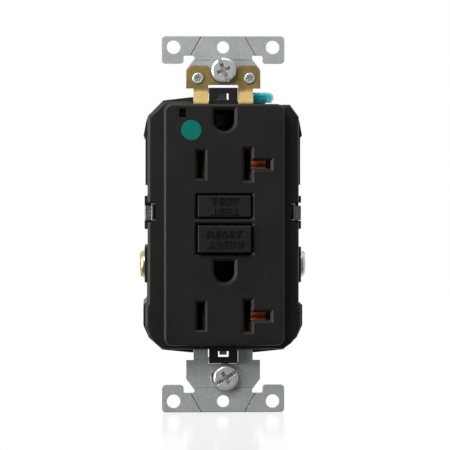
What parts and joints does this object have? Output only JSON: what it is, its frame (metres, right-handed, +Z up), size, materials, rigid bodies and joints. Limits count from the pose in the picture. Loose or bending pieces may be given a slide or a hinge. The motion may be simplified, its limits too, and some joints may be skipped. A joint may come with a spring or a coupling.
{
  "type": "gfci outlet",
  "caption": "Ground-fault duplex receptacle with a rectangular decorator face, test and reset buttons, side screw terminals and a steel mounting strap with ears.",
  "frame": {"origin": "midway between the two box screws, on the back plane of the mounting strap", "axes": "+X right as seen from the room, +Y into the wall, +Z up along the strap"},
  "size_m": [0.0458, 0.0403, 0.1028],
  "materials": {
    "cover_plastic": "black moulded thermoplastic, fine matte texture with a soft sheen",
    "housing_plastic": "black moulded thermoset, matte",
    "inner_plastic": "black glass-filled thermoplastic, matte",
    "green_mark": "flat blue-green",
    "strap_steel": "galvanised sheet with a fine spangle",
    "zinc_steel": "bright zinc plate",
    "spring_steel": "spring wire",
    "brass": "rolled brass, satin",
    "copper": "copper alloy, satin",
    "green_screw": "blue-green dyed zinc plate",
    "fibre": "white fibre sheet",
    "core_metal": "nickel-iron laminations",
    "board_laminate": "green epoxy laminate",
    "component_blue": "dipped epoxy",
    "component_dark": "moulded epoxy",
    "clear_plastic": "smoked clear moulded plastic"
  },
  "bodies": {
    "root": {"front_cover": "cover_plastic", "rear_housing": "housing_plastic", "contact_carrier": "inner_plastic", "solenoid_bobbin": "inner_plastic", "sensor_housing": "inner_plastic", "grade_dot": "green_mark", "mounting_strap": "strap_steel", "bridge_rivets": "zinc_steel", "housing_screws": "zinc_steel", "side_clips": "zinc_steel", "end_latches": "zinc_steel", "solenoid_frame": "zinc_steel", "ground_bridge": "brass", "ground_contact_upper": "brass", "ground_contact_lower": "brass", "hot_face_contact": "brass", "test_leaf": "brass", "line_plate_hot": "brass", "line_plate_neutral": "brass", "load_plate_hot": "brass", "load_plate_neutral": "brass", "neutral_face_contact": "copper", "line_bar_hot": "copper", "line_bar_neutral": "copper", "solenoid_coil": "copper", "sensor_windings": "copper", "sensor_cores": "core_metal", "circuit_board": "board_laminate", "varistor": "component_blue", "capacitors": "component_dark", "resistors": "component_dark", "sense_chip": "component_dark", "trip_thyristor": "component_dark", "rectifier": "component_dark", "light_pipe": "clear_plastic", "indicator_led": "clear_plastic"},
    "test_key": {"test_button": "cover_plastic"},
    "reset_key": {"reset_button": "cover_plastic", "reset_pin": "zinc_steel", "reset_spring": "spring_steel"},
    "contact_lifter": {"lifter": "inner_plastic"},
    "latch": {"latch_plate": "zinc_steel"},
    "solenoid_core": {"plunger": "zinc_steel", "plunger_spring": "spring_steel"},
    "arm_hot": {"line_arm_hot": "copper"},
    "arm_neutral": {"line_arm_neutral": "copper"},
    "retainer_upper_body": {"retainer_upper": "fibre"},
    "retainer_lower_body": {"retainer_lower": "fibre"},
    "box_screw_upper_body": {"box_screw_upper": "zinc_steel"},
    "box_screw_lower_body": {"box_screw_lower": "zinc_steel"},
    "ground_washer_body": {"ground_washer": "green_screw"},
    "ground_screw_body": {"ground_screw": "green_screw"},
    "line_clamp_hot_body": {"line_clamp_hot": "brass"},
    "line_screw_hot_body": {"line_screw_hot": "brass"},
    "line_clamp_neutral_body": {"line_clamp_neutral": "zinc_steel"},
    "line_screw_neutral_body": {"line_screw_neutral": "zinc_steel"},
    "load_clamp_hot_body": {"load_clamp_hot": "brass"},
    "load_screw_hot_body": {"load_screw_hot": "brass"},
    "load_clamp_neutral_body": {"load_clamp_neutral": "zinc_steel"},
    "load_screw_neutral_body": {"load_screw_neutral": "zinc_steel"}
  },
  "joints": [
    {"name": "test_press", "type": "slide", "parent": "root", "child": "test_key", "axis": [0, 1, 0], "range_m": [0, 0.0012], "stiffness_N_per_m": 900, "springref_m": -0.0006},
    {"name": "reset_press", "type": "slide", "parent": "root", "child": "reset_key", "axis": [0, 1, 0], "range_m": [0, 0.002], "stiffness_N_per_m": 1200, "springref_m": -0.001},
    {"name": "lifter_raise", "type": "slide", "parent": "root", "child": "contact_lifter", "axis": [0, -1, 0], "range_m": [0, 0.0015], "stiffness_N_per_m": 500, "springref_m": -0.0006},
    {"name": "plunger_strike", "type": "slide", "parent": "root", "child": "solenoid_core", "axis": [0, 0, -1], "range_m": [0, 0.0015], "stiffness_N_per_m": 300, "springref_m": -0.0006},
    {"name": "latch_slide", "type": "slide", "parent": "contact_lifter", "child": "latch", "axis": [0, 0, -1], "range_m": [0, 0.0015]},
    {"name": "arm_swing_hot", "type": "hinge", "parent": "root", "child": "arm_hot", "pos_m": [-0.0115, 0.01145, -0.0185], "axis": [1, 0, 0], "range_deg": [0, 5.89]},
    {"name": "arm_swing_neutral", "type": "hinge", "parent": "root", "child": "arm_neutral", "pos_m": [0.0115, 0.01145, -0.0185], "axis": [1, 0, 0], "range_deg": [0, 5.89]},
    {"name": "line_hot_clamp_travel", "type": "slide", "parent": "root", "child": "line_clamp_hot_body", "axis": [1, 0, 0], "range_m": [0, 0.00198]},
    {"name": "line_hot_screw_turn", "type": "hinge", "parent": "line_clamp_hot_body", "child": "line_screw_hot_body", "pos_m": [-0.0195, 0.009, -0.01105], "axis": [1, 0, 0], "range_deg": [0, 900]},
    {"name": "line_neutral_clamp_travel", "type": "slide", "parent": "root", "child": "line_clamp_neutral_body", "axis": [-1, 0, 0], "range_m": [0, 0.00253]},
    {"name": "line_neutral_screw_turn", "type": "hinge", "parent": "line_clamp_neutral_body", "child": "line_screw_neutral_body", "pos_m": [0.0195, 0.009, -0.01105], "axis": [-1, 0, 0], "range_deg": [0, 1150]},
    {"name": "load_hot_clamp_travel", "type": "slide", "parent": "root", "child": "load_clamp_hot_body", "axis": [1, 0, 0], "range_m": [-0.00198, 0]},
    {"name": "load_hot_screw_turn", "type": "hinge", "parent": "load_clamp_hot_body", "child": "load_screw_hot_body", "pos_m": [-0.0195, 0.009, 0.0174], "axis": [1, 0, 0], "range_deg": [-900, 0]},
    {"name": "load_neutral_clamp_travel", "type": "slide", "parent": "root", "child": "load_clamp_neutral_body", "axis": [-1, 0, 0], "range_m": [-0.00198, 0]},
    {"name": "load_neutral_screw_turn", "type": "hinge", "parent": "load_clamp_neutral_body", "child": "load_screw_neutral_body", "pos_m": [0.0195, 0.009, 0.0174], "axis": [-1, 0, 0], "range_deg": [-900, 0]},
    {"name": "ground_washer_travel", "type": "slide", "parent": "root", "child": "ground_washer_body", "axis": [0, 0, -1], "range_m": [0, 0.00172]},
    {"name": "ground_screw_turn", "type": "hinge", "parent": "ground_washer_body", "child": "ground_screw_body", "pos_m": [0.0102, 0.0049, 0.034], "axis": [0, 0, -1], "range_deg": [0, 780]},
    {"name": "box_screw_upper_shift", "type": "slide", "parent": "root", "child": "retainer_upper_body", "axis": [1, 0, 0], "range_m": [-0.0017, 0.0015]},
    {"name": "box_screw_upper_turn", "type": "hinge", "parent": "retainer_upper_body", "child": "box_screw_upper_body", "pos_m": [0.0001, 0, 0.04205], "axis": [0, 1, 0], "continuous": true},
    {"name": "box_screw_lower_shift", "type": "slide", "parent": "root", "child": "retainer_lower_body", "axis": [1, 0, 0], "range_m": [-0.0023, 0.0009]},
    {"name": "box_screw_lower_turn", "type": "hinge", "parent": "retainer_lower_body", "child": "box_screw_lower_body", "pos_m": [0.0007, 0, -0.04195], "axis": [0, 1, 0], "continuous": true}
  ],
  "couplings": [
    {"joint": "latch_slide", "follows": "plunger_strike", "ratio": 1},
    {"joint": "arm_swing_hot", "follows": "lifter_raise", "rad_per_m": 68.259},
    {"joint": "arm_swing_neutral", "follows": "lifter_raise", "rad_per_m": 68.259},
    {"joint": "line_hot_screw_turn", "follows": "line_hot_clamp_travel", "rad_per_m": 7915.8},
    {"joint": "line_neutral_screw_turn", "follows": "line_neutral_clamp_travel", "rad_per_m": 7915.8},
    {"joint": "load_hot_screw_turn", "follows": "load_hot_clamp_travel", "rad_per_m": 7915.8},
    {"joint": "load_neutral_screw_turn", "follows": "load_neutral_clamp_travel", "rad_per_m": 7915.8},
    {"joint": "ground_screw_turn", "follows": "ground_washer_travel", "rad_per_m": 7915.8}
  ]
}
